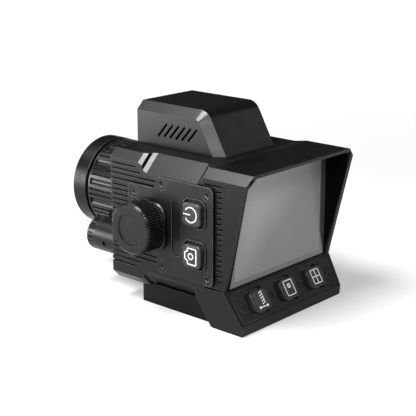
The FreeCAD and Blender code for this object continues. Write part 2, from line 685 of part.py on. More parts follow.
def make_screen():
    glass = new_part("cover_glass")
    extrude(glass, "XZ", "glass_y", "glass_y+glass_thick",
            rectangle("-glass_half", "glass_low", "glass_half", "glass_high"))
    display = new_part("display_module")
    extrude(display, "XZ", "glass_y+glass_thick", "glass_y+glass_thick+lcd_thick",
            rectangle("-lcd_half+0.1", "lcd_low+0.1", "lcd_half-0.1", "lcd_high-0.1"))
    board = new_part("main_board")
    extrude(board, "XZ", "parting-3.6", "parting-2", rectangle(-30, 20, 30, 60))
    extrude(board, "XZ", "parting-2", "parting+1.2", rectangle(-10, 34, 6, 50), rectangle(12, 26, 22, 34))
    seal = new_part("housing_seal")
    inner, outer = "(body_width/2-wall-1.3)", "(body_width/2-wall-0.5)"
    top, low = "(body_top-wall-0.2)", "(toe_top+1.4)"
    extrude(seal, "XZ", "parting-0.6", "parting+0.4", rounded("-" + outer, low, outer, top, 9),
            rounded("-" + inner, low + "+0.8", inner, top + "-0.8", 8.2))


def make_lens():
    """Objective: everything turned about one axis along Y."""
    def part(label):
        return new_part(label, 0, 0, "axis_z")
    barrel = part("lens_barrel")
    turn(barrel, "YZ", "H_Axis", ("front_face-5.5", "bore_radius"), ("front_face-5.5", "bore_radius+1.5"),
         ("front_face", "bore_radius+1.5"), ("front_face", "barrel_radius"),
         ("ring_front+ring_seam", "barrel_radius"),
         ("ring_front+ring_seam", "cap_thread-1"), ("cap_seat", "cap_thread-1"), ("cap_seat", "lens_radius"),
         (60.5, "lens_radius"),
         (60.5, "bore_radius"))
    ring = part("focus_ring")
    inner = "barrel_radius+run_gap"
    turn(ring, "YZ", "H_Axis", ("ring_rear", inner), ("ring_rear", "ring_radius"),
         ("ring_front-0.4", "ring_radius"),
         ("ring_front", "ring_radius-0.4"), ("ring_front", inner))
    # three narrow ribs, then one wide scallop, all round
    pair = [rectangle("-ring_radius-1", "%srib_offset-rib_gap/2" % sign, "-ring_radius+rib_depth",
                      "%srib_offset+rib_gap/2" % sign) for sign in ("", "-")]
    gaps = extrude(ring, "XZ", "ring_rear-1", "ring_front-1.2", *pair, cut=True)
    repeat_round(ring, gaps, "Y", 14)
    hollow = extrude(ring, "XZ", "ring_rear-1", "ring_front-1.2",
                     circle(0, "ring_radius+scallop_radius-rib_depth", "scallop_radius"), cut=True)
    repeat_round(ring, hollow, "Y", 14)
    front = part("front_ring")
    turn(front, "YZ", "H_Axis", ("ring_front+ring_seam", "cap_thread-1"),
         ("ring_front+ring_seam", "front_ring_radius-0.3"),
         ("ring_front+ring_seam+0.3", "front_ring_radius"), ("lens_front-0.5", "front_ring_radius"),
         ("lens_front", "front_ring_radius-0.5"), ("lens_front", "cap_thread"), ("cap_seat", "cap_thread"),
         ("cap_seat", "cap_thread-0.2"),
         ("cap_seat-0.8", "cap_thread-0.2"), ("cap_seat-0.8", "cap_thread-1"))
    glass = part("objective_lens")
    lens(glass, 60.6, 66.4, 68.0, "lens_radius-0.05")
    clamp = part("lens_retaining_ring")
    turn(clamp, "YZ", "H_Axis", (66.65, "bore_radius+0.1"), (66.65, "lens_radius"), (68.7, "lens_radius"),
         (68.7, "bore_radius+0.6"))
    seal = part("lens_o_ring")
    turn(seal, "YZ", "H_Axis", ("cap_seat-0.8", "cap_thread-1"), ("cap_seat-0.8", "cap_thread-0.2"),
         ("cap_seat", "cap_thread-0.2"), ("cap_seat", "cap_thread-1"))
    cell = part("focus_cell")
    turn(cell, "YZ", "H_Axis", (33, 12), (33, "bore_radius-run_gap"), (46, "bore_radius-run_gap"), (46, 13),
         (41, 13), (41, 12))
    rear = part("focus_lens")
    lens(rear, 41, 44.2, 45.4, 13)


def lens(body, back, edge, crown, radius):
    """Plano-convex lens: flat back, straight edge, domed front made of short cones."""
    dome = []
    steps = 6
    for n in range(steps + 1):
        share = n / steps
        dome.append(("%s+(%s-%s)*%.5f" % (edge, crown, edge, 1 - share * share),
                     "(%s)*%.5f" % (radius, share)))
    turn(body, "YZ", "H_Axis", (back, 0), *dome, (back, radius))


def make_pointer():
    """Laser pointer tube under the lens with a turning focus collar."""
    def part(label):
        return new_part(label, "-tube_x", 0, "tube_z")
    tube = part("pointer_tube")
    neck = "tube_radius-2.6"
    turn(tube, "YZ", "H_Axis", ("front_face-4", 3.4), ("front_face-4", neck), ("front_face", neck),
         ("front_face", "tube_radius"), ("tube_seam", "tube_radius"), ("tube_seam", 5.6),
         ("tube_front-1.2", 5.6),
         ("tube_front-1.2", 4.6), ("front_face+2", 4.6), ("front_face+2", 3.4))
    extrude(tube, "YZ", "-tube_radius-1", -4, circle("tube_seam-6.2", -1.6, 1.3), cut=True)
    collar = part("pointer_collar")
    turn(collar, "YZ", "H_Axis", ("tube_seam+0.15", "5.6+run_gap"), ("tube_seam+0.15", "tube_radius"),
         ("tube_front-0.4", "tube_radius"), ("tube_front", "tube_radius-0.4"), ("tube_front", 3.6),
         ("tube_front-1.05", 3.6), ("tube_front-1.05", "5.6+run_gap"))
    notch = extrude(collar, "XZ", "tube_front-4.2", "tube_front+1",
                    rectangle(-0.3, "tube_radius-0.6", 0.3, "tube_radius+1"),
                    cut=True)
    repeat_round(collar, notch, "Y", 24)
    grub = part("pointer_grub_screw")
    extrude(grub, "YZ", -6.6, -4.6, circle("tube_seam-6.2", -1.6, 1.3))
    module = part("pointer_diode")
    extrude(module, "XZ", "front_face-8", "front_face+2", circle(0, 0, 3.35))
    extrude(module, "XZ", "front_face+2", "front_face+12", circle(0, 0, 4.2))
    glass = part("pointer_lens")
    lens(glass, 48, 49.4, 50.4, 4.6)


def make_rangefinder():
    """Housing on top with two front windows, vents in both flanks and a sloping rear."""
    body = new_part("top_cover")
    side = polygon(("front_face", "body_top"), ("front_face", "top_high"), ("top_crest", "top_high"),
                   ("top_rear", "body_top"))
    block = extrude(body, "YZ", "-top_half", "top_half", side)
    crest, high = number("top_crest"), number("top_high")
    block = bevel(body, block, "top_radius", lambda c, e: abs(c.y - crest) < 0.01 and abs(c.z - high) < 0.01,
                  kind="Fillet")
    half, low, face = number("top_half"), number("body_top"), number("front_face")
    bevel(body, block, "top_chamfer", lambda c, e: abs(abs(c.x) - half) < 0.01 and c.z > low + 0.5
          and c.y < face - 0.5)
    extrude(body, "XY", "body_top", "top_high-2.5", rectangle(-15.6, -6, 15.6, "front_face-2.5"), cut=True)
    extrude(body, "XY", "body_top-1", "body_top+5", *[circle(x, y, 1.05) for x, y in COVER_SCREWS], cut=True)
    windows = (("emitter_x", "emitter_radius"), ("receiver_x", "receiver_radius"))
    extrude(body, "XZ", "front_face-3", "front_face+1", *[circle(x, "window_z", r) for x, r in windows],
            cut=True)
    for low_x, high_x in (("-top_half", "-top_half+1.3"), ("top_half-1.3", "top_half")):
        slots = [slanted_slot("13.1-3.38*%d" % n, 76.1, "18.3-3.38*%d" % n, 70.25, 0.55) for n in range(6)]
        extrude(body, "YZ", low_x, high_x, *slots, cut=True)
    for label, x, radius in (("emitter", "emitter_x", "emitter_radius"),
                             ("receiver", "receiver_x", "receiver_radius")):
        tube = new_part(label + "_tube", x, 0, "window_z")
        turn(tube, "YZ", "H_Axis", (10, 0), (10, "%s-0.4" % radius), ("front_face-2.5", "%s-0.4" % radius),
             ("front_face-2.5", radius), ("front_face-0.3", radius), ("front_face-0.3", "%s-0.9" % radius),
             ("front_face-1.6", "%s-0.9" % radius), ("front_face-1.6", "%s-1.4" % radius),
             (12, "%s-1.4" % radius), (12, 0))
        window = new_part(label + "_lens", x, 0, "window_z")
        turn(window, "YZ", "H_Axis", ("front_face-1.6", 0), ("front_face-1.6", "%s-0.9" % radius),
             ("front_face-0.9", "%s-0.9" % radius), ("front_face-0.7", "%s-1.4" % radius),
             ("front_face-0.5", 0))
    board = new_part("rangefinder_board")
    extrude(board, "XY", "body_top+0.6", "body_top+1.8", rectangle(-14, -4, 14, 26))
    extrude(board, "XY", "body_top+1.8", "body_top+4.6", rectangle(-12, -1, -2, 7), rectangle(3, -2, 11, 6))
    one = screw("cover_screw", 1.9, 1.4, 1.05, 7)
    flip = Rotation(Vector(1, 0, 0), 180)
    inside = SIZES["body_top"] - SIZES["wall"] + 0.6 - 1.4
    screw_group("top_cover_screws", one, [Placement(Vector(x, y, inside), flip) for x, y in COVER_SCREWS])


def slanted_slot(x0, y0, x1, y1, half):
    """Slot between two points: a four-sided strip of the given half width."""
    run, rise = number(x1) - number(x0), number(y1) - number(y0)
    length = math.hypot(run, rise)
    dx, dy = -rise / length * half, run / length * half
    return polygon(("%s+%.4f" % (x0, dx), "%s+%.4f" % (y0, dy)),
                   ("%s-%.4f" % (x0, dx), "%s-%.4f" % (y0, dy)),
                   ("%s-%.4f" % (x1, dx), "%s-%.4f" % (y1, dy)),
                   ("%s+%.4f" % (x1, dx), "%s+%.4f" % (y1, dy)))


def make_right_side():
    """Plain cover opposite the controls, with a charging socket under a hinged flap."""
    face = "body_width/2"
    cover = new_part("right_cover")
    extrude(cover, "YZ", face, face + "+plate_thick", rounded("plate_rear", "plate_low", "lobe_front",
                                                              "plate_high", 3))
    extrude(cover, "YZ", face + "-1", face + "+plate_thick+1",
            *[circle(y, z, "shank_radius") for y, z in RIGHT_SCREWS],
            rounded(-5.2, 28.1, 5.2, 31.9, 1.7), cut=True)
    extrude(cover, "YZ", face + "+plate_thick-0.9", face + "+plate_thick+1",
            *[circle(y, z, "head_radius+0.05") for y, z in RIGHT_SCREWS], cut=True)
    one = screw("cover_plate_screw", high=0.8)
    out = Rotation(Vector(0, 1, 0), 90)
    x = SIZES["body_width"] / 2 + SIZES["plate_thick"] - 0.1
    screw_group("right_cover_screws", one, [Placement(Vector(x, number(y), number(z)),
                                                      out) for y, z in RIGHT_SCREWS])
    port = new_part("charging_port")
    extrude(port, "YZ", face + "-wall-4", face, rounded(-4.5, 28.4, 4.5, 31.6, 1.55))
    extrude(port, "YZ", face + "-5.5", face + "+1", rounded(-4.1, 28.8, 4.1, 31.2, 1.15), cut=True)
    extrude(port, "YZ", face + "-5.5", face + "-0.8", rectangle(-3.2, 29.65, 3.2, 30.35))
    pin_x, pin_y = face + "+plate_thick+0.7", 8.6
    flap = new_part("port_flap")
    extrude(flap, "XY", 27.05, 32.95, circle(pin_x, pin_y, 1.1))
    extrude(flap, "YZ", face + "+plate_thick+0.05", face + "+plate_thick+1.35",
            rounded(-7.5, 25.5, 7.2, 34.5, 1.5))
    extrude(flap, "YZ", face + "+plate_thick+0.05", face + "+plate_thick+1.35",
            rectangle(6, 27.05, pin_y, 32.95))
    extrude(flap, "YZ", face + "+0.5", face + "+plate_thick+0.1", rounded(-4.3, 28.9, 4.3, 31.1, 1))
    extrude(flap, "XY", 26, 34, circle(pin_x, pin_y, "0.6+run_gap"), cut=True)
    extrude(cover, "YZ", face + "+plate_thick-0.1", face + "+plate_thick+1.7",
            *[rectangle(pin_y - 0.95, z, pin_y + 0.95, z + 0.9) for z in (26.1, 33.0)])
    extrude(cover, "XY", 26, 34, circle(pin_x, pin_y, 0.6), cut=True)
    extrude(cover, "YZ", face + "+plate_thick-0.6", face + "+plate_thick+0.2",
            rectangle(pin_y - 1.3, 27.0, pin_y + 1.3, 33.0), cut=True)
    pin = new_part("flap_hinge_pin", pin_x, pin_y, 0)
    extrude(pin, "XY", 26.1, 33.9, circle(0, 0, 0.6))


def make_inside():
    carrier = new_part("detector_carrier", 0, 0, "axis_z")
    extrude(carrier, "XZ", 17.6, "front_face-front_wall", circle(0, 0, 23.5), circle(0, 0, 22))
    board = new_part("detector_board")
    extrude(board, "XZ", 16, 17.6, rectangle(-23, "axis_z-19", 23, "axis_z+19"))
    detector = new_part("thermal_detector")
    extrude(detector, "XZ", 17.6, 20.4, rectangle(-9, "axis_z-8", 9, "axis_z+8"))
    extrude(detector, "XZ", 20.4, 20.9, rectangle(-6.5, "axis_z-5.5", 6.5, "axis_z+5.5"))
    shutter = new_part("shutter_blade")
    extrude(shutter, "XZ", 21.6, 21.9, rectangle(8.2, "axis_z-5.8", 21.2, "axis_z+5.8"))
    motor = new_part("shutter_motor")
    extrude(motor, "XZ", 17.6, 21.5, rectangle(13, "axis_z-5", 20, "axis_z+5"))
    battery = new_part("battery_pack")
    extrude(battery, "XZ", -17, 13, rounded(4, 12.6, 26, 32, 2))
    speaker = new_part("speaker")
    extrude(speaker, "XZ", -12, -8.5, circle(-14, 22, 8))


make_front_housing()
make_rear_housing()
make_base()
make_control_plate()
make_knob()
make_side_buttons()
make_keypad()
make_screen()
make_lens()
make_pointer()
make_rangefinder()
make_right_side()
make_inside()
doc.recompute()

for item in doc.Objects:
    if "Invalid" in item.State or "Error" in item.State:
        raise RuntimeError("%s did not recompute: %s" % (item.Label, item.State))
os.makedirs("parts", exist_ok=True)
for part in parts:
    if part.Shape.isNull() or not part.Shape.isValid():
        raise RuntimeError("%s has no valid shape" % part.Label)
    part.Shape.exportStep("parts/%s.step" % part.Label)
    print("%-24s %d solid(s), %.1f mm3" % (part.Label, len(part.Shape.Solids), part.Shape.Volume))
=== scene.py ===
import json
import math

import bmesh
import bpy
from mathutils import Matrix, Vector


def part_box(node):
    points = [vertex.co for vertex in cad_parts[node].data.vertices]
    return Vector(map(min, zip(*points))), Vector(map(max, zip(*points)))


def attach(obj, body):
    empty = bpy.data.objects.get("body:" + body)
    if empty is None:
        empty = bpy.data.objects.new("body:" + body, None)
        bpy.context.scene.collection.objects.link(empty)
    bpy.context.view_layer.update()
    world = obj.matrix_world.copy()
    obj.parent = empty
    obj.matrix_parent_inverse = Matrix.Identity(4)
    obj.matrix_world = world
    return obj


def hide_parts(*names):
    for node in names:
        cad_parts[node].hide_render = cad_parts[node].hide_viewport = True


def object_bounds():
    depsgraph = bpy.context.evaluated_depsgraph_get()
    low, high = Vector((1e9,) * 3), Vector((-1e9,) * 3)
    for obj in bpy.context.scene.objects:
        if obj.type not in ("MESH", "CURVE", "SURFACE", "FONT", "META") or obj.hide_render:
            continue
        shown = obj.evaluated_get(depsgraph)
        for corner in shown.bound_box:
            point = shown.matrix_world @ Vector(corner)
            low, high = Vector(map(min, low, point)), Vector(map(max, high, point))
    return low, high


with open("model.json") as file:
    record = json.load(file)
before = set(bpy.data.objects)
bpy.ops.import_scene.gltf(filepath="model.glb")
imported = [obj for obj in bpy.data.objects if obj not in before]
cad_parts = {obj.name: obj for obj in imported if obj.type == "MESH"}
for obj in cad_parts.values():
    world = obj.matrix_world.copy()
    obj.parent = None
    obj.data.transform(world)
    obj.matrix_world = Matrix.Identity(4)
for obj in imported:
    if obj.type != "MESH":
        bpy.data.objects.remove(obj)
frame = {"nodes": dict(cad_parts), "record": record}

# Thermal imaging camera: materials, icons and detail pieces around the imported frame. Metres.
MM = 0.001
cad_low, cad_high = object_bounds()
nodes = frame["nodes"]


# ---------------------------------------------------------------- frame measures
def centre_of(node):
    low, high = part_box(node)
    return (low + high) / 2


GLASS_LOW, GLASS_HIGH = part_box("cover_glass")
HOOD_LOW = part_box("rear_housing")[0]
KEY_RISE, KEY_RUN = 12.65, 8.0
KEY_TILT = math.atan2(KEY_RISE, KEY_RUN)


# ---------------------------------------------------------------- materials
class Shader:
    """A node material with a few short ways to add and join nodes."""

    def __init__(self, name):
        self.material = bpy.data.materials.new(name)
        self.material.use_nodes = True
        self.tree = self.material.node_tree
        self.surface = self.tree.nodes["Principled BSDF"]
        self.coords = self.node("ShaderNodeTexCoord").outputs["Object"]

    def node(self, kind, inputs=(), **settings):
        made = self.tree.nodes.new(kind)
        for name, value in settings.items():
            setattr(made, name, value)
        for name, value in dict(inputs).items():
            self.feed(made.inputs[name], value)
        return made

    def feed(self, socket, value):
        if isinstance(value, bpy.types.NodeSocket):
            self.tree.links.new(value, socket)
        else:
            socket.default_value = value

    def set(self, **values):
        for name, value in values.items():
            self.feed(self.surface.inputs[name.replace("_", " ")], value)

    def noise(self, size, detail=3.0, coords=None, stretch=None):
        """Noise whose blotches are about `size` metres across."""
        coords = coords or self.coords
        if stretch:
            mapping = self.node("ShaderNodeMapping", {"Vector": coords})
            mapping.inputs["Scale"].default_value = stretch
            coords = mapping.outputs["Vector"]
        made = self.node("ShaderNodeTexNoise", {"Vector": coords, "Scale": 1.0 / size, "Detail": detail})
        return made.outputs["Fac"]

    def spread(self, value, low, high, start=0.3, end=0.7):
        """Map a 0 to 1 value to low..high."""
        made = self.node("ShaderNodeMapRange", {"Value": value, "From Min": start, "From Max": end,
                                                "To Min": low, "To Max": high})
        return made.outputs["Result"]

    def blend(self, share, first, second):
        made = self.node("ShaderNodeMix", data_type="RGBA")
        self.feed(made.inputs["Factor"], share)
        self.feed(made.inputs["A"], first)
        self.feed(made.inputs["B"], second)
        return made.outputs["Result"]

    def grain(self, height, strength, distance, normal=None):
        inputs = {"Height": height, "Strength": strength, "Distance": distance}
        if normal:
            inputs["Normal"] = normal
        return self.node("ShaderNodeBump", inputs).outputs["Normal"]

    def edges(self, radius):
        """Rounded-edge normal, and a mask that is 1 on the edges."""
        soft = self.node("ShaderNodeBevel", {"Radius": radius}, samples=6).outputs["Normal"]
        true = self.node("ShaderNodeNewGeometry").outputs["Normal"]
        dot = self.node("ShaderNodeVectorMath", operation="DOT_PRODUCT")
        self.feed(dot.inputs[0], soft)
        self.feed(dot.inputs[1], true)
        turned = self.spread(dot.outputs["Value"], 1.0, 0.0, start=0.72, end=0.99)
        open_sky = self.openness(4 * radius)
        return soft, self.times(turned, self.spread(open_sky, 0.0, 1.0, start=0.7, end=0.95))

    def openness(self, reach):
        """1 on open faces and outer edges, towards 0 down in grooves and inner corners."""
        return self.node("ShaderNodeAmbientOcclusion", {"Distance": reach}, samples=8).outputs["AO"]

    def join(self, operation, first, second):
        made = self.node("ShaderNodeMath", operation=operation)
        self.feed(made.inputs[0], first)
        self.feed(made.inputs[1], second)
        return made.outputs[0]

    def times(self, first, second):
        return self.join("MULTIPLY", first, second)

    def plus(self, first, second):
        return self.join("ADD", first, second)

    def within(self, low, high):
        """1 inside a box given by two corners, else 0."""
        parts = self.node("ShaderNodeSeparateXYZ", {"Vector": self.coords})
        share = None
        for axis, start, end in zip("XYZ", low, high):
            for operation, edge in (("GREATER_THAN", start), ("LESS_THAN", end)):
                test = self.join(operation, parts.outputs[axis], edge)
                share = test if share is None else self.times(share, test)
        return share


def grey(level, tint=0.0):
    return (level, level * (1 + tint * 0.3), level * (1 + tint), 1.0)


def anodised(name, level, rough, wear_and_highlight=0.10, grain=0.35, edge=0.00025, sheen=0.2, dull_box=None):
    """Bead-blasted black anodising: fine grain, uneven tone, edges lightened partly as wear and partly as a
    painted highlight, and shine dimmed in grooves as painted shade.
    Inside dull_box the finish is matt, as on the inner walls of the screen hood."""
    s = Shader(name)
    soft, mask = s.edges(edge)
    tone = s.spread(s.noise(0.018), 0.0, 1.0)
    base = s.blend(tone, grey(level * 0.85, 0.04), grey(level * 1.15, 0.04))
    patchy = s.times(mask, s.spread(s.noise(0.0022), 0.6, 1.0))
    # Painted shade: the shine is dimmed in grooves and inner corners by an occlusion test.
    shine = s.spread(s.openness(0.0016), 0.0, sheen, start=0.35, end=0.9)
    if dull_box:
        shine = s.times(shine, s.spread(s.within(*dull_box), 1.0, 0.04, start=0.0, end=1.0))
    # Convex edges are lightened towards a pale grey: partly edge wear, partly a painted highlight.
    s.set(Base_Color=s.blend(patchy, base, grey(wear_and_highlight, 0.02)), Specular_IOR_Level=shine,
          Roughness=s.spread(s.noise(0.006), rough - 0.04, rough + 0.05),
          Normal=s.grain(s.noise(0.00022, detail=2.0), grain, 0.000008, soft))
    return s.material


def glossy(name, level, rough=0.22, coat=0.15, wear_and_highlight=0.2):
    """Moulded glossy black: faint orange peel and handling smears under a clear coat."""
    s = Shader(name)
    soft, mask = s.edges(0.0001)
    smear = s.noise(0.004, stretch=(1.0, 1.0, 3.0))
    base = s.blend(s.spread(smear, 0, 1), grey(level * 0.9), grey(level * 1.2))
    # Edges are tinted towards a pale grey: partly edge wear, partly a painted highlight.
    s.set(Base_Color=s.blend(mask, base, grey(wear_and_highlight)), Roughness=s.spread(smear, rough, rough + 0.12),
          Coat_Weight=coat, Coat_Roughness=0.08, Specular_IOR_Level=0.25,
          Normal=s.grain(s.noise(0.0012), 0.12, 0.00003, soft))
    return s.material


def steel(name, level, rough=0.3, wear_and_highlight=0.6, edge=0.0001):
    """Black-oxide or bare steel with turning marks."""
    s = Shader(name)
    soft, mask = s.edges(edge)
    marks = s.noise(0.0006, stretch=(1.0, 1.0, 6.0))
    base = s.blend(s.spread(marks, 0, 1), grey(level * 0.8), grey(level * 1.2))
    # Edges are tinted towards a pale grey: partly edge wear, partly a painted highlight.
    s.set(Base_Color=s.blend(mask, base, grey(wear_and_highlight)), Metallic=0.9,
          Roughness=s.spread(marks, rough - 0.06, rough + 0.1), Normal=s.grain(marks, 0.2, 0.00003, soft))
    return s.material


def brass(name):
    s = Shader(name)
    soft = s.edges(0.0001)[0]
    marks = s.noise(0.0006, stretch=(6.0, 1.0, 1.0))
    s.set(Base_Color=s.blend(s.spread(marks, 0, 1), (0.55, 0.38, 0.14, 1), (0.72, 0.53, 0.24, 1)),
          Metallic=1.0, Roughness=s.spread(marks, 0.2, 0.36), Normal=s.grain(marks, 0.2, 0.00003, soft))
    return s.material


def rubber(name):
    s = Shader(name)
    soft = s.edges(0.0003)[0]
    s.set(Base_Color=s.blend(s.spread(s.noise(0.005), 0, 1), grey(0.014), grey(0.022)),
          Roughness=s.spread(s.noise(0.002), 0.62, 0.78),
          Normal=s.grain(s.noise(0.0003), 0.5, 0.00005, soft))
    return s.material


def board(name):
    """Solder mask with faint traces."""
    s = Shader(name)
    wave = s.node("ShaderNodeTexWave", {"Vector": s.coords, "Scale": 500.0, "Distortion": 6.0}).outputs["Fac"]
    s.set(Base_Color=s.blend(s.spread(wave, 0, 1, 0.4, 0.6), (0.01, 0.07, 0.03, 1), (0.02, 0.12, 0.05, 1)),
          Roughness=0.35, Normal=s.grain(wave, 0.2, 0.00003))
    return s.material


def coated_lens(name, low, high):
    """Dark infrared glass with a coloured coating that shifts at the rim."""
    s = Shader(name)
    rim = s.node("ShaderNodeLayerWeight", {"Blend": 0.35}).outputs["Facing"]
    haze = s.noise(0.006)
    s.set(Base_Color=s.blend(rim, low, high), Metallic=0.85, Roughness=s.spread(haze, 0.04, 0.09),
          Coat_Weight=0.5)
    return s.material


def wrap(name):
    s = Shader(name)
    s.set(Base_Color=s.blend(s.spread(s.noise(0.003), 0, 1), (0.02, 0.06, 0.2, 1), (0.04, 0.09, 0.28, 1)),
          Roughness=0.3, Normal=s.grain(s.noise(0.002), 0.3, 0.0001))
    return s.material


def screen_face(name):
    """Unlit display under glass: an even grey with painted light that lightens it towards the upper left
    corner.
    """
    s = Shader(name)
    parts = s.node("ShaderNodeSeparateXYZ", {"Vector": s.coords})
    rise = s.spread(parts.outputs["Z"], 0.0, 1.0, start=GLASS_LOW.z, end=GLASS_HIGH.z)
    haze = s.spread(s.noise(0.012), -0.02, 0.02)
    left = s.spread(parts.outputs["X"], 0.0, 1.0, start=GLASS_HIGH.x, end=GLASS_LOW.x)
    # Painted light: the grey is lightened towards the upper left corner.
    corner = s.spread(s.plus(rise, left), 0.02, 1.0, start=0.9, end=1.9)
    s.set(Base_Color=s.blend(s.plus(corner, haze), grey(0.17), grey(0.42)), Roughness=0.4,
          Specular_IOR_Level=0.2, Coat_Weight=0.25, Coat_Roughness=0.03)
    return s.material


def screen_mask(name):
    s = Shader(name)
    s.set(Base_Color=s.blend(s.spread(s.noise(0.01), 0, 1), grey(0.035), grey(0.045)), Roughness=0.3,
          Coat_Weight=1.0, Coat_Roughness=0.03)
    return s.material


def paint(name, level, glow):
    """Printed icon line with a faint painted glow."""
    s = Shader(name)
    # Painted glow: the emission brightens the printed line.
    s.set(Emission_Color=grey(1.0), Emission_Strength=glow)
    s.set(Base_Color=s.blend(s.spread(s.noise(0.001), 0, 1), grey(level * 0.92), grey(level)),
          Roughness=0.45, Normal=s.grain(s.noise(0.0002), 0.2, 0.00001))
    return s.material


def pale_floor(name):
    """Matt floor that is plain white away from the object."""
    s = Shader(name)
    away = s.node("ShaderNodeVectorMath", operation="LENGTH")
    s.feed(away.inputs[0], s.coords)
    glow = s.spread(away.outputs["Value"], 0.40, 1.0, start=0.25, end=0.9)
    s.set(Base_Color=s.blend(s.spread(s.noise(0.4), 0, 1), grey(0.24), grey(0.25)), Roughness=0.8,
          Specular_IOR_Level=0.0, Emission_Color=(1, 1, 1, 1), Emission_Strength=glow)
    return s.material


# Box just inside the screen hood's outer skin, where the finish is matt.
HOOD_HALF, HOOD_FLOOR, HOOD_CEILING = 32.95 * MM, 17.2 * MM, 64.3 * MM
HOOD_INSIDE = ((-HOOD_HALF, HOOD_LOW.y + 0.2 * MM, HOOD_FLOOR), (HOOD_HALF, GLASS_HIGH.y, HOOD_CEILING))
# The pale edge greys set below lighten edges partly as wear and partly as a painted highlight.
LOOKS = {
    "hood_black": anodised("hood_black", 0.002, 0.33, sheen=0.18, dull_box=HOOD_INSIDE),
    "foot_black": anodised("foot_black", 0.002, 0.33, sheen=0.1),
    "anodised_black": anodised("anodised_black", 0.002, 0.33),
    "anodised_plate": anodised("anodised_plate", 0.003, 0.30, wear_and_highlight=0.4, grain=0.25, edge=0.00012, sheen=0.22),
    "anodised_knob": anodised("anodised_knob", 0.003, 0.24, wear_and_highlight=0.3, grain=0.15, edge=0.00006, sheen=0.25),
    "anodised_ring": anodised("anodised_ring", 0.002, 0.33, grain=0.15, sheen=0.15),
    "black_steel": steel("black_steel", 0.02, wear_and_highlight=0.7, edge=0.00012),
    "steel": steel("bare_steel", 0.5),
    "brass_bush": brass("turned_brass"),
    "component_black": glossy("component_black", 0.02, rough=0.4, coat=0.0),
    "key_plastic": glossy("key_plastic", 0.014),
    "circuit_board": board("circuit_board"),
    "screen_glass": screen_mask("screen_mask"),
    "display": screen_face("screen_face"),
    "seal_rubber": rubber("black_rubber"),
    "germanium": coated_lens("coated_germanium", (0.10, 0.07, 0.12, 1), (0.30, 0.20, 0.42, 1)),
    "window_glass": coated_lens("coated_window", (0.06, 0.02, 0.10, 1), (0.35, 0.12, 0.30, 1)),
    "battery_wrap": wrap("battery_wrap"),
    "icon_white": paint("icon_white", 0.3, glow=0.42),
}

# Nodes whose finish differs from their slot's.
OWN_LOOK = {"rear_housing": "hood_black", "base_block": "foot_black"}

# Nodes shown as clean copies, sharp where two faces meet and smooth round the curves, listed under
# the turn between faces, in degrees, above which an edge is sharp.
SHARP_ABOVE = {
    8: ("front_housing", "rear_housing"),
    14: ("control_knob",),
    16: ("top_cover", "focus_ring"),
    20: ("base_block", "control_plate", "knob_flange", "keypad_plate", "right_cover", "front_ring",
         "lens_barrel", "pointer_tube", "pointer_collar", "control_plate_screws", "keypad_screws",
         "right_cover_screws"),
    30: ("power_button", "photo_button", "left_key", "middle_key", "right_key", "port_flap"),
}
CLEAN = {node: angle for angle, members in SHARP_ABOVE.items() for node in members}
WELD = 0.002 * MM
FLAT = math.radians(0.4)


def clean_copy(node, angle):
    """Copy of a CAD mesh with its doubled points joined, flat areas joined and its sharp edges marked."""
    bm = bmesh.new()
    bm.from_mesh(nodes[node].data)
    bmesh.ops.remove_doubles(bm, verts=bm.verts, dist=WELD)
    bmesh.ops.dissolve_limit(bm, angle_limit=FLAT, verts=bm.verts, edges=bm.edges)
    bmesh.ops.triangulate(bm, faces=bm.faces)
    for face in bm.faces:
        face.smooth = True
    for edge in bm.edges:
        edge.smooth = len(edge.link_faces) == 2 and edge.calc_face_angle(0) < math.radians(angle)
    mesh = bpy.data.meshes.new(node + "_clean")
    bm.to_mesh(mesh)
    bm.free()
    return mesh


def make_clean_copies():
    bodies = frame["record"]["behaviour"]["bodies"]
    for entry in frame["record"]["subparts"]:
        node, slot = entry["node"], entry["material_slot"]
        if node in CLEAN:
            body = next(name for name, members in bodies.items() if node in members)
            look = OWN_LOOK.get(node, slot)
            piece = add_piece(node + "_shell", clean_copy(node, CLEAN[node]), look, body)
            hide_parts(node)


def dress_nodes():
    """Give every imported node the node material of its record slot."""
    for entry in frame["record"]["subparts"]:
        node = nodes[entry["node"]]
        look = LOOKS[entry["material_slot"]]
        if not node.material_slots:
            node.data.materials.append(look)
        for held in node.material_slots:
            held.material = look


# ---------------------------------------------------------------- mesh helpers
def add_piece(name, mesh, look, body):
    """Link a mesh as a piece that rides on a body."""
    piece = bpy.data.objects.new(name, mesh)
    bpy.context.scene.collection.objects.link(piece)
    mesh.materials.append(LOOKS[look])
    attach(piece, body)
    return piece


def stroke(bm, points, width, height, closed, place):
    """Flat raised line of constant width through 2-D points, mitred at its corners."""
    count = len(points)
    rows = []
    for index, point in enumerate(points):
        before = points[index - 1] if closed or index > 0 else None
        after = points[(index + 1) % count] if closed or index < count - 1 else None
        arms = [(point - before).normalized()] if before is not None else []
        arms += [(after - point).normalized()] if after is not None else []
        along = sum(arms, Vector((0, 0))).normalized()
        side = Vector((-along.y, along.x))
        reach = width / 2 / max(0.4, abs(side.dot(Vector((-arms[0].y, arms[0].x)))))
        corners = [(point + side * reach, height), (point - side * reach, height),
                   (point - side * reach, 0.0), (point + side * reach, 0.0)]
        rows.append([bm.verts.new(place @ Vector((p.x, p.y, z))) for p, z in corners])
    pairs = list(zip(rows, rows[1:] + rows[:1])) if closed else list(zip(rows, rows[1:]))
    for here, after in pairs:
        for k in range(4):
            bm.faces.new((here[k], here[(k + 1) % 4], after[(k + 1) % 4], after[k]))
    if not closed:
        bm.faces.new(rows[0][::-1])
        bm.faces.new(rows[-1])


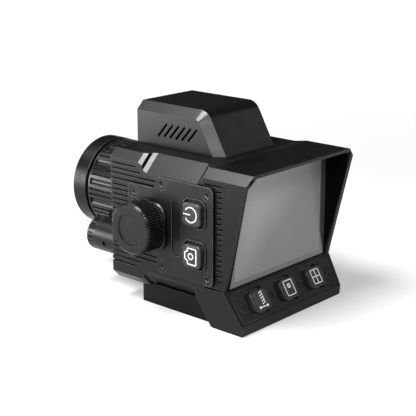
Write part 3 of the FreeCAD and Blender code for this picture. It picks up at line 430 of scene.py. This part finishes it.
def disc(bm, centre, radius, height, place, steps=24):
    """Raised dot."""
    rims = []
    turns = [2 * math.pi * k / steps for k in range(steps)]
    for z in (height, 0.0):
        rims.append([bm.verts.new(place @ Vector((centre.x + radius * math.cos(turn),
                                                  centre.y + radius * math.sin(turn), z)))
                     for turn in turns])
    bm.faces.new(rims[0])
    bm.faces.new(rims[1][::-1])
    for k in range(steps):
        after = (k + 1) % steps
        bm.faces.new((rims[0][k], rims[1][k], rims[1][after], rims[0][after]))


def arc(centre, radius, start, end, steps):
    """Points on an arc, angles in degrees."""
    angles = [math.radians(start + (end - start) * k / steps) for k in range(steps + 1)]
    return [centre + radius * Vector((math.cos(a), math.sin(a))) for a in angles]


def round_box(width, height, radius, steps=5, centre=Vector((0, 0))):
    """Points round a rounded rectangle."""
    points = []
    for turn, (sx, sy) in enumerate(((1, 1), (-1, 1), (-1, -1), (1, -1))):
        corner = centre + Vector((sx * (width / 2 - radius), sy * (height / 2 - radius)))
        points += arc(corner, radius, 90 * turn, 90 * turn + 90, steps)
    return points


def finish_mesh(bm, name):
    bmesh.ops.recalc_face_normals(bm, faces=bm.faces)
    mesh = bpy.data.meshes.new(name)
    bm.to_mesh(mesh)
    bm.free()
    mesh.polygons.foreach_set("use_smooth", [False] * len(mesh.polygons))
    return mesh


# ---------------------------------------------------------------- icons
LINE = 0.5 * MM
KEY_LINE = 0.7 * LINE
RAISE = 0.05 * MM


def frame_matrix(origin, right, up, out):
    return Matrix.Translation(origin) @ Matrix((right, up, out)).transposed().to_4x4()


def side_frame(node):
    low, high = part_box(node)
    origin = Vector((low.x, (low.y + high.y) / 2, (low.z + high.z) / 2))
    return frame_matrix(origin, Vector((0, 0, 1)), Vector((0, 1, 0)), Vector((-1, 0, 0)))


def key_frame(node):
    """Icon plane on a keypad key: right is +X, up is up the slope."""
    out = Vector((0, -math.sin(KEY_TILT), math.cos(KEY_TILT)))
    up = Vector((0, math.cos(KEY_TILT), math.sin(KEY_TILT)))
    points = [v.co for v in nodes[node].data.vertices]
    level = max(p.dot(out) for p in points)
    rises = [p.dot(up) for p in points]
    middle = (max(rises) + min(rises)) / 2
    x = centre_of(node).x
    origin = Vector((x, 0, 0)) + up * middle + out * level
    return frame_matrix(origin, Vector((1, 0, 0)), up, out)


def straight(bm, start, end, width, place):
    """Straight line between two points given in millimetres."""
    stroke(bm, [Vector(start) * MM, Vector(end) * MM], width, RAISE, False, place)


def power_icon(bm, place):
    gap, middle = 32, Vector((0, 0.15 * MM))
    stroke(bm, arc(middle, 3.05 * MM, 90 + gap, 450 - gap, 40), LINE, RAISE, False, place)
    straight(bm, (0, 0.4), (0, 3.95), LINE, place)


def photo_icon(bm, place):
    half = [(3.0, -2.65), (3.3, -2.35), (3.3, 1.6), (3.0, 1.9), (2.0, 2.0), (1.5, 3.0), (1.2, 3.3)]
    outline = half + [(-x, y) for x, y in reversed(half)]
    stroke(bm, [Vector(point) * MM for point in outline], LINE, RAISE, True, place)
    stroke(bm, arc(Vector((0, 0.25 * MM)), 1.2 * MM, 0, 345, 23), LINE, RAISE, True, place)


def measure_icon(bm, place):
    """Tick ladder over a line with a dot at each end."""
    for k in range(5):
        y = 3.1 - 1.15 * k
        straight(bm, (-0.2, y - 0.5), (1.5, y + 0.2), LINE * 0.8, place)
    straight(bm, (1.5, 3.4), (1.5, -1.6), LINE * 0.5, place)
    straight(bm, (-2.2, -3.0), (2.2, -3.0), KEY_LINE, place)
    for x in (-2.2, 2.2):
        disc(bm, Vector((x, -3.0)) * MM, 0.55 * MM, RAISE, place)


def window_icon(bm, place):
    stroke(bm, round_box(5.2 * MM, 6.3 * MM, 0.5 * MM), KEY_LINE, RAISE, True, place)
    inner = round_box(1.3 * MM, 1.3 * MM, 0.15 * MM, centre=Vector((0, 0.8 * MM)))
    stroke(bm, inner, LINE * 0.9, RAISE, True, place)


def grid_icon(bm, place):
    stroke(bm, round_box(5.2 * MM, 6.0 * MM, 0.5 * MM), KEY_LINE, RAISE, True, place)
    straight(bm, (0, -3.0), (0, 3.0), KEY_LINE, place)
    straight(bm, (-2.6, 0), (2.6, 0), KEY_LINE, place)


def make_icons():
    icons = {"power_button": (power_icon, side_frame), "photo_button": (photo_icon, side_frame),
             "left_key": (measure_icon, key_frame), "middle_key": (window_icon, key_frame),
             "right_key": (grid_icon, key_frame)}
    for node, (draw, place) in icons.items():
        bm = bmesh.new()
        draw(bm, place(node))
        add_piece(node + "_icon", finish_mesh(bm, node + "_icon"), "icon_white", node)


# ---------------------------------------------------------------- screen
ACTIVE_WIDTH, ACTIVE_LOW, ACTIVE_HIGH = 56.0 * MM, 20.1 * MM, 62.6 * MM


def slab(bm, outline, y_front, y_back):
    """Closed slab between two depths from an (x, z) outline."""
    front = [bm.verts.new((p.x, y_front, p.y)) for p in outline]
    back = [bm.verts.new((p.x, y_back, p.y)) for p in outline]
    bm.faces.new(front)
    bm.faces.new(back[::-1])
    for k in range(len(outline)):
        after = (k + 1) % len(outline)
        bm.faces.new((front[k], back[k], back[after], front[after]))


def make_screen():
    """Black-masked cover glass with the active area set into it."""
    low, high = GLASS_LOW, GLASS_HIGH
    middle = Vector(((low.x + high.x) / 2, (low.z + high.z) / 2))
    width, height = high.x - low.x, high.z - low.z
    bm = bmesh.new()
    slab(bm, round_box(width, height, 1.2 * MM, centre=middle), low.y + 0.05 * MM, high.y)
    mask = add_piece("screen_mask_glass", finish_mesh(bm, "screen_mask_glass"), "screen_glass", "camera")
    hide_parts("cover_glass")
    bm = bmesh.new()
    active = round_box(ACTIVE_WIDTH, ACTIVE_HIGH - ACTIVE_LOW, 0.3 * MM,
                       centre=Vector((0, (ACTIVE_LOW + ACTIVE_HIGH) / 2)))
    slab(bm, active, low.y + 0.02 * MM, low.y + 0.3 * MM)
    add_piece("screen_active_area", finish_mesh(bm, "screen_active_area"), "display", "camera")


# ---------------------------------------------------------------- studio
def area_light(name, spot, target, size, power):
    data = bpy.data.lights.new(name, "AREA")
    data.shape = "RECTANGLE"
    data.size, data.size_y = size
    data.energy = power
    lamp = bpy.data.objects.new(name, data)
    bpy.context.scene.collection.objects.link(lamp)
    lamp.visible_camera = False
    lamp.location = spot
    lamp.rotation_euler = (Vector(target) - Vector(spot)).to_track_quat("-Z", "Y").to_euler()


FLOOR_REACH = 6.0
WORLD_STRENGTH = 0.03
# Softboxes: turn from +X and height in degrees, distance and size in metres, brightness.
LIGHTS = {
    "key_light": {"turn": 170, "rise": 60, "away": 1.1, "size": (0.45, 0.45), "radiance": 58.0},
    "left_light": {"turn": 133, "rise": 5, "away": 0.36, "size": (0.24, 0.11), "radiance": 14.0},
    "front_light": {"turn": 112, "rise": 46, "away": 1.2, "size": (0.5, 0.4), "radiance": 3.2},
    "hood_light": {"turn": 143, "rise": 60, "away": 0.27, "size": (0.07, 0.07), "radiance": 30.0},
    "fill_light": {"turn": -140, "rise": 34, "away": 1.0, "size": (0.4, 0.3), "radiance": 22.0},
    "rear_light": {"turn": -37, "rise": 26, "away": 1.2, "size": (0.7, 0.4), "radiance": 1.2},
}


def make_studio():
    bm = bmesh.new()
    corners = ((-1, -1), (1, -1), (1, 1), (-1, 1))
    rim = [bm.verts.new((x * FLOOR_REACH, y * FLOOR_REACH, 0.0)) for x, y in corners]
    bm.faces.new(rim)
    floor = bpy.data.objects.new("floor", finish_mesh(bm, "floor"))
    floor.data.materials.append(pale_floor("pale_floor"))
    bpy.context.scene.collection.objects.link(floor)
    floor.location.z = cad_low.z
    world = bpy.data.worlds.new("studio")
    world.use_nodes = True
    background = world.node_tree.nodes["Background"]
    background.inputs["Color"].default_value = (1, 1, 1, 1)
    background.inputs["Strength"].default_value = WORLD_STRENGTH
    bpy.context.scene.world = world
    target = (cad_low + cad_high) / 2
    for name, plan in LIGHTS.items():
        turn, rise = math.radians(plan["turn"]), math.radians(plan["rise"])
        level = math.cos(rise)
        toward = Vector((math.cos(turn) * level, math.sin(turn) * level, math.sin(rise)))
        spot = target + toward * plan["away"]
        power = plan["radiance"] * math.pi * plan["size"][0] * plan["size"][1]
        area_light(name, spot, target, plan["size"], power)
    bpy.context.scene.view_settings.view_transform = "Standard"


def make_camera():
    azimuth, elevation = math.radians(-48.14), math.radians(16.21)
    data = bpy.data.cameras.new("camera")
    data.sensor_width = 36.0
    data.lens = 94.36
    data.clip_start = 0.01
    camera = bpy.data.objects.new("camera", data)
    bpy.context.scene.collection.objects.link(camera)
    camera.location = (-0.33728, -0.29498, 0.16873)
    camera.rotation_euler = (math.pi / 2 - elevation, 0, azimuth)
    bpy.context.scene.camera = camera


make_camera()
make_studio()
dress_nodes()
make_clean_copies()
make_screen()
make_icons()
